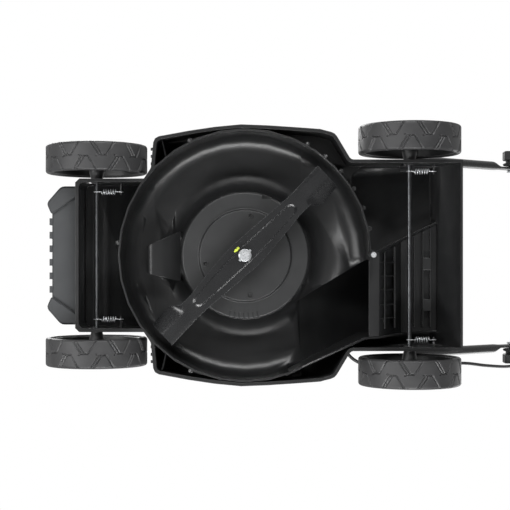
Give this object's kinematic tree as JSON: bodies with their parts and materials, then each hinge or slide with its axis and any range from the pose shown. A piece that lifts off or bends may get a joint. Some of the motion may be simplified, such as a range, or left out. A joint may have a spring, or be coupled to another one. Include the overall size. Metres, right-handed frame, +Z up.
{
  "type": "cordless lawn mower",
  "caption": "Battery lawn mower with a moulded deck, bar blade, four wheels on spring-held axles, rear discharge flap and folding handle.",
  "frame": {"origin": "middle of the footprint's box, on the ground", "axes": "+X to the rear (the handle end), +Y to the mower's right side, +Z up"},
  "size_m": [1.4076, 0.458, 1.0173],
  "materials": {
    "deck_black": "fine moulded texture, black",
    "cover_black": "smooth moulded, dark grey",
    "bumper_grey": "matt moulded, dark grey",
    "tyre_grey": "satin, dark grey",
    "rim_black": "satin black",
    "zinc": "bright zinc plated",
    "axle_steel": "drawn steel",
    "blade_black": "semi-gloss black paint, worn at the edges",
    "motor_metal": "cast",
    "fan_black": "moulded",
    "hood_grey": "fine moulded texture",
    "battery_black": "moulded",
    "key_red": "smooth",
    "tube_black": "black powder coat, satin",
    "grip_foam": "matt foam",
    "cable_black": "satin sheath"
  },
  "bodies": {
    "root": {"deck_front": "deck_black", "deck_left": "deck_black", "deck_right": "deck_black", "deck_rear_left": "deck_black", "deck_rear_right": "deck_black", "chute_floor": "deck_black", "motor_cover": "cover_black", "front_bumper": "bumper_grey", "chute_screw": "zinc", "front_left_spring": "zinc", "front_right_spring": "zinc", "rear_left_spring": "zinc", "rear_right_spring": "zinc", "flap_spring": "zinc", "foot_bolt_left": "zinc", "foot_bolt_right": "zinc", "joint_bolt_left": "zinc", "joint_bolt_right": "zinc", "lid_pin": "axle_steel", "flap_rod": "axle_steel", "motor_housing": "motor_metal", "motor_hood": "hood_grey", "carry_handle": "hood_grey", "battery_pack": "battery_black", "safety_key": "key_red", "handle_lower_left": "tube_black", "handle_lower_right": "tube_black", "switch_cable": "cable_black"},
    "front_axle": {"front_axle": "axle_steel"},
    "rear_axle": {"rear_axle": "axle_steel"},
    "front_left_wheel": {"front_left_tyre": "tyre_grey", "front_left_rim": "rim_black", "front_left_hubcap": "rim_black"},
    "front_right_wheel": {"front_right_tyre": "tyre_grey", "front_right_rim": "rim_black", "front_right_hubcap": "rim_black"},
    "rear_left_wheel": {"rear_left_tyre": "tyre_grey", "rear_left_rim": "rim_black", "rear_left_hubcap": "rim_black"},
    "rear_right_wheel": {"rear_right_tyre": "tyre_grey", "rear_right_rim": "rim_black", "rear_right_hubcap": "rim_black"},
    "blade_assembly": {"blade": "blade_black", "blade_holder": "motor_metal", "blade_washer": "zinc", "blade_bolt": "zinc", "motor_shaft": "axle_steel", "cooling_fan": "fan_black"},
    "battery_lid": {"battery_lid": "hood_grey"},
    "rear_flap": {"rear_flap": "deck_black"},
    "upper_handle": {"handle_upper": "tube_black", "grip": "grip_foam", "switch_box": "hood_grey", "bail_bracket": "hood_grey", "cable_clip_1": "rim_black", "cable_clip_2": "rim_black"},
    "bail_lever": {"bail_lever": "tube_black"},
    "start_button": {"start_button": "key_red"},
    "knob_left": {"knob_left": "rim_black"},
    "knob_right": {"knob_right": "rim_black"}
  },
  "joints": [
    {"name": "front_axle_release", "type": "slide", "parent": "root", "child": "front_axle", "axis": [-1, 0, 0], "range_m": [0, 0.012], "stiffness_N_per_m": 3000, "springref_m": -0.01, "deforming": ["front_left_spring", "front_right_spring"]},
    {"name": "front_left_wheel_roll", "type": "hinge", "parent": "front_axle", "child": "front_left_wheel", "pos_m": [-0.61483, -0.169, 0.089], "axis": [0, 1, 0], "continuous": true},
    {"name": "front_right_wheel_roll", "type": "hinge", "parent": "front_axle", "child": "front_right_wheel", "pos_m": [-0.61483, 0.169, 0.089], "axis": [0, 1, 0], "continuous": true},
    {"name": "rear_axle_release", "type": "slide", "parent": "root", "child": "rear_axle", "axis": [-1, 0, 0], "range_m": [0, 0.012], "stiffness_N_per_m": 3000, "springref_m": -0.01, "deforming": ["rear_left_spring", "rear_right_spring"]},
    {"name": "rear_left_wheel_roll", "type": "hinge", "parent": "rear_axle", "child": "rear_left_wheel", "pos_m": [-0.06133, -0.204, 0.0905], "axis": [0, 1, 0], "continuous": true},
    {"name": "rear_right_wheel_roll", "type": "hinge", "parent": "rear_axle", "child": "rear_right_wheel", "pos_m": [-0.06133, 0.204, 0.0905], "axis": [0, 1, 0], "continuous": true},
    {"name": "blade_spin", "type": "hinge", "parent": "root", "child": "blade_assembly", "pos_m": [-0.35233, 0, 0.058], "axis": [0, 0, 1], "continuous": true},
    {"name": "battery_lid_hinge", "type": "hinge", "parent": "root", "child": "battery_lid", "pos_m": [-0.31533, 0, 0.2903], "axis": [0, 1, 0], "range_deg": [0, 95]},
    {"name": "rear_flap_hinge", "type": "hinge", "parent": "root", "child": "rear_flap", "pos_m": [-0.04672, 0, 0.2645], "axis": [0, -1, 0], "range_deg": [0, 70], "stiffness_Nm_per_rad": 0.3, "springref_deg": -28.65, "deforming": ["flap_spring"]},
    {"name": "handle_fold", "type": "hinge", "parent": "root", "child": "upper_handle", "pos_m": [0.17767, 0, 0.36254], "axis": [0, -1, 0], "range_deg": [0, 120], "deforming": ["switch_cable"]},
    {"name": "bail_squeeze", "type": "hinge", "parent": "upper_handle", "child": "bail_lever", "pos_m": [0.58506, 0, 0.88228], "axis": [0, 1, 0], "range_deg": [0, 24], "stiffness_Nm_per_rad": 1, "springref_deg": -28.65},
    {"name": "start_button_press", "type": "slide", "parent": "upper_handle", "child": "start_button", "axis": [0.766, 0, -0.6428], "range_m": [0, 0.004], "stiffness_N_per_m": 300, "springref_m": -0.002},
    {"name": "knob_left_turn", "type": "hinge", "parent": "root", "child": "knob_left", "pos_m": [0.17767, -0.2, 0.36254], "axis": [0, 1, 0], "continuous": true},
    {"name": "knob_right_turn", "type": "hinge", "parent": "root", "child": "knob_right", "pos_m": [0.17767, 0.2, 0.36254], "axis": [0, 1, 0], "continuous": true}
  ]
}
